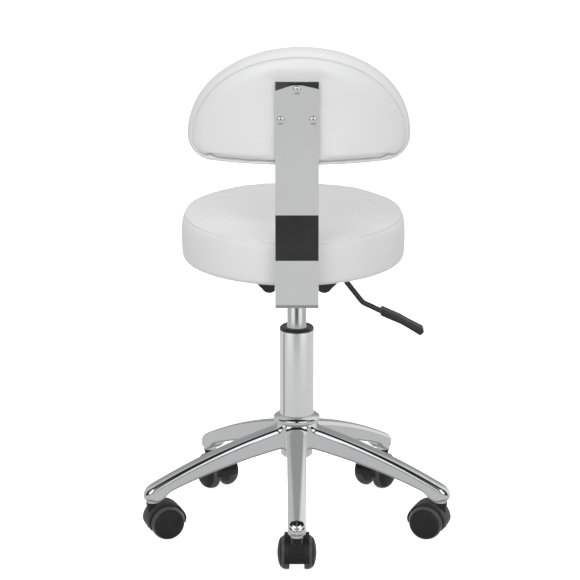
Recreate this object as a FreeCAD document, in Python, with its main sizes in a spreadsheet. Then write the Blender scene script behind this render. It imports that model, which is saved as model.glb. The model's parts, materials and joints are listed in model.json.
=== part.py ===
"""A rolling stylist stool: five-star base on casters, gas lift, round seat and a half-moon backrest.

Frame: millimetres, +Z up, origin on the floor under the swivel axis. The backrest stands at +Y, the
height lever points to -X and one arm of the base lies along +Y.
"""
import FreeCAD, Part
import math
import os
import re
import Sketcher

Vector = FreeCAD.Vector
Rotation = FreeCAD.Rotation
Placement = FreeCAD.Placement
AXIS_X, AXIS_Y, AXIS_Z = Vector(1, 0, 0), Vector(0, 1, 0), Vector(0, 0, 1)
ARM_ANGLES = [90 + 72 * number for number in range(5)]

SIZES = {
    # five-star base
    "hub_bottom": 107, "hub_top": 171, "hub_boss_radius": 23.2, "hub_boss_top": 118,
    "hub_radius": 26.5, "hub_neck": 145, "hub_rim_radius": 34, "hub_rim_low": 160,
    "hub_rim_high": 166, "arm_half_width": 13, "arm_round": 4, "arm_root": 20,
    "arm_top_root": 156, "arm_top_arc": 937, "arm_top_nose": 74.5, "arm_low_root": 121,
    "arm_low_arc": 850, "arm_low_nose": 66.4, "socket_circle": 223, "socket_bottom": 55, "socket_top": 77,
    # gas lift
    "column_radius": 25, "column_wall": 1.5, "column_top": 299, "column_foot_radius": 20.5,
    "column_bottom": 105, "column_floor": 3, "bush_bottom": 240, "bush_top": 304,
    "cylinder_radius": 14, "cylinder_wall": 1.5, "cylinder_bottom": 178, "gland_height": 16,
    "cone_bottom": 370, "cone_top": 394, "cone_top_radius": 13.2, "valve_wall": 14,
    "button_radius": 4, "button_top": 398, "button_length": 14, "running_gap": 0.06,
    "rod_radius": 5, "rod_neck": 4, "rod_bottom": 101, "rod_shoulder": 117, "rod_top": 296,
    "rod_tenon": 3, "piston_height": 12, "groove_radius": 3.2, "groove_low": 103.1,
    "groove_high": 104.9, "clip_radius": 7, "washer_radius": 15, "washer_hole": 4.5,
    "washer_height": 2, "ball_radius": 2.45, "ball_space": 5, "ball_circle": 10,
    "buffer_radius": 12, "buffer_height": 8,
    # casters
    "wheel_radius": 25, "tread_depth": 5.2, "wheel_width": 17.9, "wheel_gap": 0.3,
    "tread_width": 13.9, "shoulder_start": 6, "shoulder_arc": 8.6,
    "axle_radius": 4, "axle_half": 25.5, "cap_thick": 2, "caster_trail": 19, "hood_inner": 26,
    "hood_outer": 29.2, "hood_width": 36.6, "hood_start": -22, "hood_sweep": 206, "web_width": 20.4,
    "web_radius": 22, "boss_radius": 8.2, "boss_height": 28.9, "stem_radius": 5.5,
    "stem_top": 76, "pin_bottom": 31, "grip_radius": 6.2, "grip_low": 66,
    "grip_high": 70, "collar_radius": 8.5, "collar_low": 54.3,
    # seat
    "seat_radius": 165, "seat_shift": 4, "seat_low": 411.8, "seat_top": 481, "cover_thick": 1.2,
    "board_radius": 150, "board_low": 413, "board_thick": 12, "cover_turn": 24,
    "plate_low": 389, "plate_thick": 4, "plate_half_width": 46, "plate_half_length": 84,
    "cup_radius": 18, "cup_low": 366, "bolt_circle": 106, "plate_arm_width": 26,
    "pad_low": 409, "bolt_radius": 3, "bolt_head_radius": 6.5, "bolt_head": 4, "bolt_length": 14,
    "nut_flange_radius": 9, "nut_flange": 1.5, "nut_radius": 4.5, "nut_length": 10,
    "bar_bolt_near": 44, "bar_bolt_far": 70, "weld_nut_radius": 7, "weld_nut_height": 5,
    "pan_near": 31.8, "pan_far": 67.5, "pan_side": 369, "pan_arc": 12, "pan_turn": 50.5,
    "pan_turn_low": 372, "pan_wall": 3, "pan_length": 30, "pan_middle": 25, "arm_start": 10,
    "arm_bend": 84, "pad_near": 97, "pad_half": 13,
    # backrest
    "bar_width": 62, "bar_thick": 5, "bar_back": 183, "bar_top": 717, "bar_low": 384,
    "bar_end": 26, "bar_bend": 6.5, "bar_corner": 3, "badge_low": 456, "badge_high": 523,
    "badge_width": 59, "badge_thick": 1, "back_shift": -3, "back_half": 159, "back_low": 592,
    "back_middle": 638, "back_top": 757, "back_corner": 42, "back_curve": 300, "back_thick": 46,
    "back_board": 10, "back_board_inset": 14, "screw_radius": 2.5, "screw_head_radius": 6.3,
    "screw_head": 3, "screw_length": 15, "screw_upper": 706, "screw_lower": 662,
    "screw_spread": 23, "nut_space": 27,
    # lever
    "lever_radius": 4, "lever_height": 402.2, "lever_inner": 1, "lever_bend": 14,
    "pivot_place": 36, "pin_radius": 2, "ear_height": 16, "ear_thick": 4, "ear_gap": 4.3,
    "ear_length": 12, "paddle_width": 25, "paddle_round": 3.4, "knee_reach": 52, "shin_reach": 74,
    "shin_height": 369.5, "toe_reach": 96.5, "toe_height": 340, "grip_reach": 136, "grip_height": 320.8,
    "paddle_near": 122.5, "paddle_middle": 152, "paddle_far": 182, "paddle_tip": 186.5,
    "paddle_near_low": 322.5, "paddle_near_high": 333.5, "paddle_middle_low": 309.5,
    "paddle_middle_high": 320, "paddle_far_low": 291.5, "paddle_far_high": 303.5,
    "paddle_tip_height": 296, "paddle_curve": 400, "paddle_nose": 7,
}

doc = FreeCAD.newDocument("stylist_stool")
sheet = doc.addObject("Spreadsheet::Sheet", "Sizes")
for row, (alias, value) in enumerate(SIZES.items(), start=1):
    sheet.set(f"A{row}", alias)
    sheet.set(f"B{row}", str(value))
    sheet.setAlias(f"B{row}", alias)
doc.recompute()
sub_parts = []


# ---------------------------------------------------------------- helpers
def cells(text):
    """An expression in plain aliases, rewritten to point at the spreadsheet."""
    return re.sub(r"[a-z][a-z_]+", lambda word: "Sizes." + word.group(), str(text))


def size(text):
    return float(sheet.evalExpression(cells(text)))


def keep(piece):
    """Mark a piece as a sub-part of its own, written under its label."""
    sub_parts.append(piece)
    return piece


def at(across="0", along="0", up="0", turn=None):
    return Placement(Vector(size(across), size(along), size(up)), turn or Rotation())


def around(angle, radius="0", across="0", up="0", turn=None):
    """A placement at a polar place on the floor plan, turned to face outward."""
    return Placement(Vector(), Rotation(AXIS_Z, angle)).multiply(at(radius, across, up, turn))


def arc_middle(start, end, radius):
    """The middle of the arc from start to end; a positive radius bulges to the right of the way."""
    chord = end - start
    sagitta = abs(radius) - math.sqrt(max(radius ** 2 - (chord.Length / 2) ** 2, 0))
    right = Vector(chord.y, -chord.x, 0).normalize()
    return (start + end) * 0.5 + right * math.copysign(sagitta, radius)


def outline(body, role, corners):
    """A closed sketch. Each corner is (across, up) or (across, up, radius of the arc to the next)."""
    sketch = body.newObject("Sketcher::SketchObject", "outline")
    plane = next(item for item in body.Origin.OriginFeatures if item.Role == role)
    sketch.AttachmentSupport = [(plane, "")]
    sketch.MapMode = "FlatFace"
    points = [Vector(size(corner[0]), size(corner[1]), 0) for corner in corners]
    count = len(corners)
    ends = []
    for number, corner in enumerate(corners):
        start, end = points[number], points[(number + 1) % count]
        if len(corner) == 2:
            sketch.addGeometry(Part.LineSegment(start, end), False)
        else:
            middle = arc_middle(start, end, size(corner[2]))
            sketch.addGeometry(Part.Arc(start, middle, end), False)
        forward = sketch.getPoint(number, 1).distanceToPoint(start) < 0.01
        ends.append((1, 2) if forward else (2, 1))
    for number, corner in enumerate(corners):
        following = (number + 1) % count
        sketch.addConstraint(
            Sketcher.Constraint("Coincident", number, ends[number][1], following, ends[following][0]))
        for kind, axis, text in zip(("DistanceX", "DistanceY"), (-2, -1), corner):
            if text == "0":
                on_axis = Sketcher.Constraint("PointOnObject", number, ends[number][0], axis)
                sketch.addConstraint(on_axis)
            else:
                place = Sketcher.Constraint(kind, -1, 1, number, ends[number][0], size(text))
                sketch.setExpression(f"Constraints[{sketch.addConstraint(place)}]", cells(text))
        if len(corner) == 3:
            bend = Sketcher.Constraint("Radius", number, abs(size(corner[2])))
            sketch.setExpression(f"Constraints[{sketch.addConstraint(bend)}]", cells(f"abs({corner[2]})")
                                 .replace("Sizes.abs", "abs"))
    return sketch


def turned(label, corners, place=None):
    """A body turned about its own Z axis from (radius, height) corners."""
    body = doc.addObject("PartDesign::Body", label)
    sketch = outline(body, "XZ_Plane", corners)
    revolution = body.newObject("PartDesign::Revolution", "turning")
    revolution.Profile = sketch
    revolution.ReferenceAxis = (sketch, ["V_Axis"])
    revolution.Angle = 360
    body.Tip = revolution
    body.Placement = place or Placement()
    return body


def slab(label, corners, width, role="XZ_Plane", place=None):
    """A body padded evenly to both sides of its outline's plane."""
    body = doc.addObject("PartDesign::Body", label)
    pad = body.newObject("PartDesign::Pad", "pad")
    pad.Profile = outline(body, role, corners)
    pad.SideType = "Symmetric"
    pad.setExpression("Length", cells(width))
    body.Tip = pad
    body.Placement = place or Placement()
    return body


def rounded(body, radius, chosen):
    """Round the edges of a body that the test picks."""
    doc.recompute()
    sharp = body.Tip
    names = [f"Edge{number}" for number, edge in enumerate(sharp.Shape.Edges, start=1) if chosen(edge)]
    fillet = body.newObject("PartDesign::Fillet", "rounding")
    fillet.Base = (sharp, names)
    fillet.setExpression("Radius", cells(radius))
    body.Tip = fillet
    doc.recompute()
    if abs(fillet.Shape.Volume - sharp.Shape.Volume) < 0.01:
        raise ValueError(f"{body.Label}: the rounding changed nothing")
    return body


def cylinder(name, radius, height, place=None, angle="360"):
    piece = doc.addObject("Part::Cylinder", name)
    piece.setExpression("Radius", cells(radius))
    piece.setExpression("Height", cells(height))
    piece.setExpression("Angle", cells(angle))
    piece.Placement = place or Placement()
    return piece


def box(name, length, width, height, corner):
    piece = doc.addObject("Part::Box", name)
    for side, text in zip(("Length", "Width", "Height"), (length, width, height)):
        piece.setExpression(side, cells(text))
    piece.Placement = at(*corner)
    return piece


def fused(name, pieces):
    piece = doc.addObject("Part::MultiFuse", name)
    piece.Shapes = pieces
    return piece


def cut(name, base, tools):
    piece = doc.addObject("Part::Cut", name)
    piece.Base = base
    piece.Tool = tools[0] if len(tools) == 1 else fused(name + "_tools", tools)
    return piece


def group(label, pattern, places):
    """Identical pieces in one node: copies of a pattern piece at the given placements."""
    doc.recompute()
    copies = []
    for place in places:
        copy = pattern.Shape.copy()
        copy.Placement = place.multiply(copy.Placement)
        copies.append(copy)
    piece = doc.addObject("Part::Feature", label)
    piece.Shape = Part.makeCompound(copies)
    keep(piece)


# ---------------------------------------------------------------- five-star base
def base_arm(angle):
    """One arched arm with a round nose over its caster socket."""
    nose = "socket_circle + arm_half_width"
    arm = slab("arm", [("arm_root", "arm_low_root", "-arm_low_arc"),
                       ("socket_circle - arm_half_width - 3", "arm_low_nose"),
                       ("socket_circle - 4", "socket_bottom"), (nose, "socket_bottom"),
                       (nose, "arm_top_nose", "arm_top_arc"),
                       ("arm_root", "arm_top_root")], "2 * arm_half_width")
    trim = arm.newObject("PartDesign::Pocket", "nose_trim")
    trim.Profile = outline(arm, "XY_Plane", [
        ("socket_circle", "-arm_half_width", "arm_half_width"), (nose, "0", "arm_half_width"),
        ("socket_circle", "arm_half_width"),
        ("socket_circle", "arm_half_width + 2"), (nose + " + 2", "arm_half_width + 2"),
        (nose + " + 2", "-arm_half_width - 2"), ("socket_circle", "-arm_half_width - 2")])
    trim.SideType = "Symmetric"
    trim.Length = 4 * size("arm_top_root")
    arm.Tip = trim
    crest_low, root_end = size("arm_top_nose") - 1, size("arm_root") + 5
    rounded(arm, "arm_round", lambda edge: edge.BoundBox.ZMin > crest_low and edge.BoundBox.XMax > root_end)
    arm.Placement = around(angle)
    return arm


def star_base():
    """The cast base: hub with its rim, five arms, the column taper and five blind stem sockets."""
    hub = turned("hub", [
        ("0", "hub_bottom"), ("hub_boss_radius", "hub_bottom"), ("hub_boss_radius", "hub_boss_top"),
        ("hub_radius", "hub_boss_top + 4"), ("hub_radius", "hub_neck"),
        ("hub_rim_radius", "hub_rim_low"), ("hub_rim_radius", "hub_rim_high"),
        ("hub_rim_radius - 3", "hub_rim_high + 2.5"), ("column_radius + 0.4", "hub_top"),
        ("0", "hub_top")])
    taper = "(column_radius - column_foot_radius) / (hub_top - column_bottom)"
    bore = turned("column_bore", [
        ("0", "column_bottom"), ("column_foot_radius", "column_bottom"),
        ("column_radius", "hub_top"), (f"column_radius + {taper}", "hub_top + 1"), ("0", "hub_top + 1")])
    solid = fused("star_solid", [hub] + [base_arm(angle) for angle in ARM_ANGLES])
    sockets = [cylinder("stem_socket", "grip_radius", "socket_top - socket_bottom + 1",
                        around(angle, "socket_circle", "0", "socket_bottom - 1")) for angle in ARM_ANGLES]
    keep(cut("star_base", solid, [bore] + sockets))


# ---------------------------------------------------------------- gas lift
def column_parts():
    """Parts that stay with the base: tube, guide bush, lower washer and the ring of balls."""
    keep(turned("column_tube", [
        ("rod_neck + running_gap", "column_bottom"), ("column_foot_radius", "column_bottom"),
        ("column_radius", "hub_top"), ("column_radius", "column_top"),
        ("column_radius - column_wall", "column_top"), ("column_radius - column_wall", "hub_top"),
        ("column_foot_radius - column_wall", "column_bottom + column_floor"),
        ("rod_neck + running_gap", "column_bottom + column_floor")]))
    keep(turned("guide_bush", [
        ("cylinder_radius + running_gap", "bush_bottom"),
        ("column_radius - column_wall", "bush_bottom"), ("column_radius - column_wall", "column_top"),
        ("column_radius", "column_top"), ("column_radius", "bush_top - 2"),
        ("column_radius - 2", "bush_top"), ("cylinder_radius + 2", "bush_top"),
        ("cylinder_radius + running_gap", "bush_top - 2")]))
    floor = "column_bottom + column_floor"
    keep(washer("thrust_washer_lower", floor))
    ball = doc.addObject("Part::Sphere", "ball")
    ball.setExpression("Radius", cells("ball_radius"))
    middle = f"{floor} + washer_height + ball_space / 2"
    group("thrust_balls", ball, [around(45 * number, "ball_circle", "0", middle) for number in range(8)])


def washer(label, low):
    return turned(label, [
        ("washer_hole", low), ("washer_radius", low), ("washer_radius", f"{low} + washer_height"),
        ("washer_hole", f"{low} + washer_height")])


def rod_parts():
    """Parts that turn in the column but don't rise: rod, piston, buffer, upper washer and clip."""
    keep(turned("piston_rod", [
        ("0", "rod_bottom"), ("rod_neck", "rod_bottom"), ("rod_neck", "groove_low"),
        ("groove_radius", "groove_low"), ("groove_radius", "groove_high"),
        ("rod_neck", "groove_high"), ("rod_neck", "rod_shoulder"), ("rod_radius", "rod_shoulder"),
        ("rod_radius", "rod_top"), ("rod_tenon", "rod_top"),
        ("rod_tenon", "rod_top + piston_height"), ("0", "rod_top + piston_height")]))
    piston = "cylinder_radius - cylinder_wall - running_gap"
    keep(turned("piston_head", [
        ("rod_tenon", "rod_top"), (piston, "rod_top"), (piston, "rod_top + 3"),
        (f"{piston} - 1.5", "rod_top + 3"), (f"{piston} - 1.5", "rod_top + piston_height - 3"),
        (piston, "rod_top + piston_height - 3"), (piston, "rod_top + piston_height"),
        ("rod_tenon", "rod_top + piston_height")]))
    keep(washer("thrust_washer_upper", "rod_shoulder - washer_height"))
    keep(turned("rod_buffer", [
        ("rod_radius", "rod_shoulder"), ("buffer_radius", "rod_shoulder"),
        ("buffer_radius - 1", "rod_shoulder + buffer_height"),
        ("rod_radius", "rod_shoulder + buffer_height")]))
    clip_place = at(up="groove_low + 0.1")
    ring = cylinder("clip_ring", "clip_radius", "groove_high - groove_low - 0.2", clip_place, "300")
    hole = cylinder("clip_hole", "groove_radius", "groove_high - groove_low", at(up="groove_low"))
    keep(cut("rod_clip", ring, [hole]))


def cylinder_parts():
    """The gas cylinder with its taper, gland and valve hole, and the valve button."""
    inner = "cylinder_radius - cylinder_wall"
    cavity_top = "cone_top - valve_wall"
    gland_top = "cylinder_bottom + gland_height"
    keep(turned("gas_cylinder", [
        ("rod_radius + running_gap", "cylinder_bottom"), ("cylinder_radius", "cylinder_bottom"),
        ("cylinder_radius", "cone_bottom"), ("cone_top_radius", "cone_top"),
        ("button_radius + running_gap", "cone_top"), ("button_radius + running_gap", cavity_top),
        (inner, cavity_top), (inner, gland_top), ("rod_radius + running_gap", gland_top)]))
    keep(turned("valve_button", [
        ("0", "button_top - button_length"), ("button_radius", "button_top - button_length"),
        ("button_radius", "button_top - 0.6"), ("button_radius - 0.6", "button_top"),
        ("0", "button_top")]))


# ---------------------------------------------------------------- casters
def caster(number, angle):
    """One twin-wheel caster that trails inward: hood, axle, two wheel cores and two treads."""
    axle_place = ("socket_circle - caster_trail", "wheel_radius")

    def across(name, radius, width, start=0.0, sweep="360"):
        """A cylinder across the caster, centred on it, about the axle's line."""
        turn = Rotation(AXIS_X, 90).multiply(Rotation(AXIS_Z, start))
        place = around(angle, axle_place[0], f"({width}) / 2", axle_place[1], turn)
        return cylinder(name, radius, width, place, sweep)

    start = size("hood_start")
    fender = cut("fender", across("fender_out", "hood_outer", "hood_width", start, "hood_sweep"),
                 [across("fender_in", "hood_inner", "hood_width + 2")])
    boss = cylinder("stem_boss", "boss_radius", "boss_height",
                    around(angle, "socket_circle", "0", "wheel_radius"))
    solid = fused("hood_solid", [
        fender, boss, across("web", "web_radius", "web_width"),
        across("web_top", "hood_inner + 0.5", "web_width", start, "hood_sweep")])
    stem_hole = cylinder("stem_hole", "rod_neck + running_gap", "collar_low - pin_bottom + 1",
                         around(angle, "socket_circle", "0", "pin_bottom - 0.5"))
    wheel_clear = []
    for side in (-1, 1):
        turn = Rotation(AXIS_X, -90 * side)
        face = f"{side} * web_width / 2"
        clear = cylinder("wheel_space", "hood_inner", "wheel_width",
                         around(angle, axle_place[0], face, axle_place[1], turn))
        wheel_clear.append(clear)
    axle_hole = across("axle_hole", "axle_radius", "web_width + 2")
    keep(cut(f"caster_hood_{number}", solid, [stem_hole, axle_hole] + wheel_clear))

    axle = across(f"caster_axle_{number}", "axle_radius", "2 * axle_half")
    keep(axle)
    for letter, side in (("a", 1), ("b", -1)):
        turn = Rotation(AXIS_X, -90 * side)
        face = f"{side} * (web_width / 2 + wheel_gap)"
        place = around(angle, axle_place[0], face, axle_place[1], turn)
        core = "wheel_radius - tread_depth"
        bore = "axle_radius + running_gap"
        keep(turned(f"wheel_core_{number}{letter}", [
            ("0", "wheel_width - cap_thick"), (bore, "wheel_width - cap_thick"), (bore, "0"),
            (core, "0"), (core, "tread_width"), (f"{core} - 1.2", "tread_width - 0.4"),
            (f"{core} - 2.4", "tread_width + 0.6"), (f"({core}) / 2", "wheel_width - 0.8"),
            ("0", "wheel_width")], place))
        keep(turned(f"wheel_tread_{number}{letter}", [
            (core, "0"), ("wheel_radius - 1.5", "0"), ("wheel_radius", "1.5"),
            ("wheel_radius", "shoulder_start", "shoulder_arc"), (core, "tread_width")], place))


def caster_stems():
    """The five steel stems with their collars, and the split rings that grip the sockets."""
    stem = turned("stem", [
        ("0", "pin_bottom"), ("rod_neck", "pin_bottom"), ("rod_neck", "collar_low"),
        ("collar_radius", "collar_low"), ("collar_radius", "socket_bottom"),
        ("stem_radius", "socket_bottom"), ("stem_radius", "stem_top - 1"),
        ("stem_radius - 1", "stem_top"), ("0", "stem_top")])
    disc = cylinder("ring_out", "grip_radius", "grip_high - grip_low", at(up="grip_low"), "330")
    hole = cylinder("ring_in", "stem_radius", "grip_high - grip_low + 2", at(up="grip_low - 1"))
    ring = cut("ring", disc, [hole])
    sockets = [around(angle, "socket_circle") for angle in ARM_ANGLES]
    group("caster_stems", stem, sockets)
    group("grip_rings", ring, sockets)


# ---------------------------------------------------------------- seat
def bolt_places():
    """Four bolts up through the plate's arms, and two that hold the backrest bar to the plate."""
    board = [around(45 + 90 * number, "bolt_circle", "0", "pad_low") for number in range(4)]
    bar = [at("0", place, "bar_low") for place in ("bar_bolt_near", "bar_bolt_far")]
    return board, bar


def plate_pan(place):
    """A pressed pocket with a rounded floor that stiffens the plate beside the bar's leg."""
    outside = slab("pan_outside", [
        ("pan_near", "plate_low"), ("pan_near", "pan_side", "pan_arc"), ("pan_turn", "pan_turn_low"),
        ("pan_far", "plate_low")], "pan_length", place=place)
    inside = slab("pan_inside", [
        ("pan_near + pan_wall", "plate_low + 1"),
        ("pan_near + pan_wall", "pan_side + 0.8", "pan_arc - pan_wall"),
        ("pan_turn - 2", "pan_turn_low + 2.2"), ("pan_far - 3.2", "plate_low + 1")],
        "pan_length - 2 * pan_wall", place=place)
    return cut("plate_pan", outside, [inside])


def seat_plate():
    """The pressed plate: web, four arms with pads, cup for the cylinder, lever ears and weld nuts."""
    web = box("plate_web", "2 * plate_half_width", "2 * plate_half_length", "plate_thick",
              ("-plate_half_width", "-plate_half_length", "plate_low"))
    arms = [slab("plate_arm", [
        ("arm_start", "plate_low"), ("arm_bend", "plate_low"), ("pad_near", "pad_low"),
        ("bolt_circle + pad_half", "pad_low"), ("bolt_circle + pad_half", "board_low"),
        ("bolt_circle - pad_half", "board_low"), ("arm_bend - 3", "plate_low + plate_thick"),
        ("arm_start", "plate_low + plate_thick")],
        "plate_arm_width", place=around(45 + 90 * number)) for number in range(4)]
    pans = [plate_pan(around(angle, across=across))
            for angle in (0, 180) for across in ("pan_middle", "-pan_middle")]
    cup = cylinder("cup", "cup_radius", "plate_low - cup_low + 1", at(up="cup_low"))
    top = "plate_low + plate_thick"
    ears = [box("ear", "ear_length", "ear_thick", "ear_height",
                ("-pivot_place - ear_length / 2", near, top))
            for near in ("ear_gap", "-ear_gap - ear_thick")]
    nuts = [cylinder("weld_nut", "weld_nut_radius", "weld_nut_height", at("0", place, top))
            for place in ("bar_bolt_near", "bar_bolt_far")]
    bore = turned("cup_bore", [
        ("0", "cup_low - 1"), ("cylinder_radius", "cup_low - 1"), ("cylinder_radius", "cone_bottom"),
        ("cone_top_radius", "cone_top"), ("cone_top_radius", "cone_top + 3"), ("0", "cone_top + 3")])
    board_bolts, bar_bolts = bolt_places()
    holes = [cylinder("bolt_hole", "bolt_radius", "bolt_length + 2", place.multiply(at(up="-1")))
             for place in board_bolts + bar_bolts]
    pin_hole = cylinder("pin_hole", "pin_radius", "4 * ear_gap",
                        at("-pivot_place", "2 * ear_gap", "lever_height", Rotation(AXIS_X, 90)))
    keep(cut("seat_plate", fused("plate_solid", [web, cup] + arms + pans + ears + nuts),
             [bore, pin_hole] + holes))


def seat_fasteners():
    """Six identical bolts, and the four tee nuts that the plate's bolts enter."""
    board_bolts, bar_bolts = bolt_places()
    bolt = turned("bolt", [
        ("0", "-bolt_head"), ("bolt_head_radius - 1", "-bolt_head"), ("bolt_head_radius", "1 - bolt_head"),
        ("bolt_head_radius", "0"), ("bolt_radius", "0"), ("bolt_radius", "bolt_length"),
        ("0", "bolt_length")])
    group("seat_bolts", bolt, board_bolts + bar_bolts)
    nut_low = "board_thick - nut_length"
    nut = turned("tee_nut", [
        ("bolt_radius", nut_low), ("nut_radius", nut_low), ("nut_radius", "board_thick"),
        ("nut_flange_radius", "board_thick"), ("nut_flange_radius", "board_thick + nut_flange"),
        ("bolt_radius", "board_thick + nut_flange")])
    lift = at(up="board_low - pad_low")
    group("seat_tee_nuts", nut, [place.multiply(lift) for place in board_bolts])


def seat_pad():
    """The board, its foam, and the cover that is drawn round the foam and turned under the board."""
    board_bolts, _ = bolt_places()
    clear = [cylinder("nut_space", "nut_radius", "2 * board_thick", place) for place in board_bolts]
    board = cylinder("board_disc", "board_radius", "board_thick", at("seat_shift", "0", "board_low"))
    keep(cut("seat_board", board, clear))
    inside = "seat_radius - cover_thick"
    foam = turned("foam_disc", [
        ("0", "board_low + board_thick"), ("board_radius", "board_low + board_thick"),
        ("board_radius", "board_low"), (inside, "board_low"), (inside, "seat_top - cover_thick"),
        ("0", "seat_top - cover_thick")], at("seat_shift"))
    flange_lift = at(up="board_low + board_thick - pad_low")
    flange_space = [cylinder("flange_space", "nut_flange_radius", "nut_flange", place.multiply(flange_lift))
                    for place in board_bolts]
    keep(cut("seat_foam", foam, flange_space))
    keep(turned("seat_cover", [
        ("0", "seat_top"), ("0", "seat_top - cover_thick"), (inside, "seat_top - cover_thick"),
        (inside, "board_low"), ("board_radius - cover_turn", "board_low"),
        ("board_radius - cover_turn", "seat_low"), ("seat_radius", "seat_low"),
        ("seat_radius", "seat_top")], at("seat_shift")))


# ---------------------------------------------------------------- backrest
def screw_places():
    """The three screws enter from behind; their own +Z points forward into the backrest."""
    forward = Rotation(AXIS_X, 90)
    spots = [("0", "screw_upper"), ("-screw_spread", "screw_lower"), ("screw_spread", "screw_lower")]
    return [at(across, "bar_back", up, forward) for across, up in spots]


def backrest_bar():
    """The bent flat bar: an upright behind the backrest and a leg under the seat plate."""
    bar = slab("bar_strip", [
        ("bar_end", "bar_low"), ("bar_back - bar_bend", "bar_low", "bar_bend"),
        ("bar_back", "bar_low + bar_bend"), ("bar_back", "bar_top"), ("bar_back - bar_thick", "bar_top"),
        ("bar_back - bar_thick", "bar_low + bar_bend", "bar_thick - bar_bend"),
        ("bar_back - bar_bend", "bar_low + bar_thick"), ("bar_end", "bar_low + bar_thick")],
        "bar_width", "YZ_Plane")
    top = size("bar_top") - 0.1
    rounded(bar, "bar_corner", lambda edge: edge.BoundBox.ZMin > top and edge.BoundBox.YLength > 1)
    screws = [cylinder("screw_hole", "screw_radius", "3 * bar_thick", place.multiply(at(up="-bar_thick")))
              for place in screw_places()]
    _, bar_bolts = bolt_places()
    bolts = [cylinder("leg_hole", "bolt_radius", "3 * bar_thick", place.multiply(at(up="-bar_thick")))
             for place in bar_bolts]
    keep(cut("backrest_bar", bar, screws + bolts))
    keep(box("bar_plate", "badge_width", "badge_thick", "badge_high - badge_low",
             ("-badge_width / 2", "bar_back", "badge_low")))


def half_moon(inset, outer, inner):
    """A half-moon slab bent about a vertical axis in front of it, between two radii."""
    half, low = size("back_half") - inset, size("back_low") + inset
    middle, top, corner = size("back_middle"), size("back_top") - inset, size("back_corner") - inset
    crown = Part.Ellipse(Vector(half, 0, middle), Vector(0, 0, top), Vector(0, 0, middle))
    edges = [Part.ArcOfEllipse(crown, 0, math.pi).toShape()]
    for side in (1, -1):
        foot, flank = Vector(side * (half - corner), 0, low), Vector(side * half, 0, middle)
        shoulder = Part.Ellipse(foot, flank, Vector(side * (half - corner), 0, middle))
        edges.append(Part.ArcOfEllipse(shoulder, 0, math.pi / 2).toShape())
    edges.append(Part.LineSegment(Vector(corner - half, 0, low), Vector(half - corner, 0, low)).toShape())
    face = Part.Face(Part.Wire(Part.sortEdges(edges)[0]))
    prism = face.extrude(Vector(0, size("bar_back + 20"), 0))
    prism.translate(Vector(0, 1, 0))
    centre = Vector(0, size("bar_back - bar_thick - back_curve"), low - 1)
    ring = Part.makeCylinder(outer, top, centre).cut(Part.makeCylinder(inner, top, centre))
    return prism.common(ring)


def backrest_pad():
    """The bent board, its foam and cover, with the screws and the tee nuts that they enter."""
    screw = turned("screw", [
        ("0", "-screw_head"), ("screw_head_radius - 2.5", "-screw_head"),
        ("screw_head_radius", "-0.8"), ("screw_head_radius", "0"), ("screw_radius", "0"),
        ("screw_radius", "screw_length"), ("0", "screw_length")])
    group("back_screws", screw, screw_places())
    nut_start = "bar_thick + cover_thick + 4"
    nut_end = "bar_thick + cover_thick + back_board + 1.2"
    nut = turned("back_nut", [
        ("screw_radius", nut_start), ("nut_radius", nut_start), ("nut_radius", nut_end),
        ("nut_flange_radius", nut_end), ("nut_flange_radius", f"{nut_end} + nut_flange"),
        ("screw_radius", f"{nut_end} + nut_flange")])
    group("back_tee_nuts", nut, screw_places())

    curve, cover = size("back_curve"), size("cover_thick")
    thick, board_inset = size("back_thick"), size("back_board_inset")
    board_face = curve - cover
    board = half_moon(board_inset, board_face, board_face - size("back_board"))
    inside = half_moon(cover, board_face, curve - thick + cover)
    shells = {
        "backrest_board": board,
        "backrest_foam": inside.cut(board),
        "backrest_cover": half_moon(0, curve, curve - thick).cut(inside)}
    shift = AXIS_X * size("back_shift")
    screw_space, flange_space = [], []
    for place in screw_places():
        way = place.Rotation.multVec(AXIS_Z)
        flange_start = place.Base + way * size(nut_end)
        screw_space.append(Part.makeCylinder(size("nut_radius"), size("nut_space"), place.Base, way))
        flange_space.append(
            Part.makeCylinder(size("nut_flange_radius"), size("nut_flange"), flange_start, way))
    for label, shape in shells.items():
        spaces = screw_space if label == "backrest_cover" else screw_space + flange_space
        shape.translate(shift)
        piece = doc.addObject("Part::Feature", label)
        piece.Shape = shape.cut(Part.makeCompound(spaces))
        keep(piece)


# ---------------------------------------------------------------- lever
def bent_path(points, radius):
    """A wire of straight runs joined by tangent arcs of one radius."""
    edges, start = [], points[0]
    for before, corner, after in zip(points, points[1:], points[2:]):
        back, ahead = (before - corner).normalize(), (after - corner).normalize()
        half = back.getAngle(ahead) / 2
        reach = radius / math.tan(half)
        entry, leave = corner + back * reach, corner + ahead * reach
        inward = (back + ahead).normalize()
        middle = corner + inward * (radius / math.sin(half) - radius)
        edges += [Part.LineSegment(start, entry).toShape(), Part.Arc(entry, middle, leave).toShape()]
        start = leave
    edges.append(Part.LineSegment(start, points[-1]).toShape())
    return Part.Wire(edges)


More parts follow.
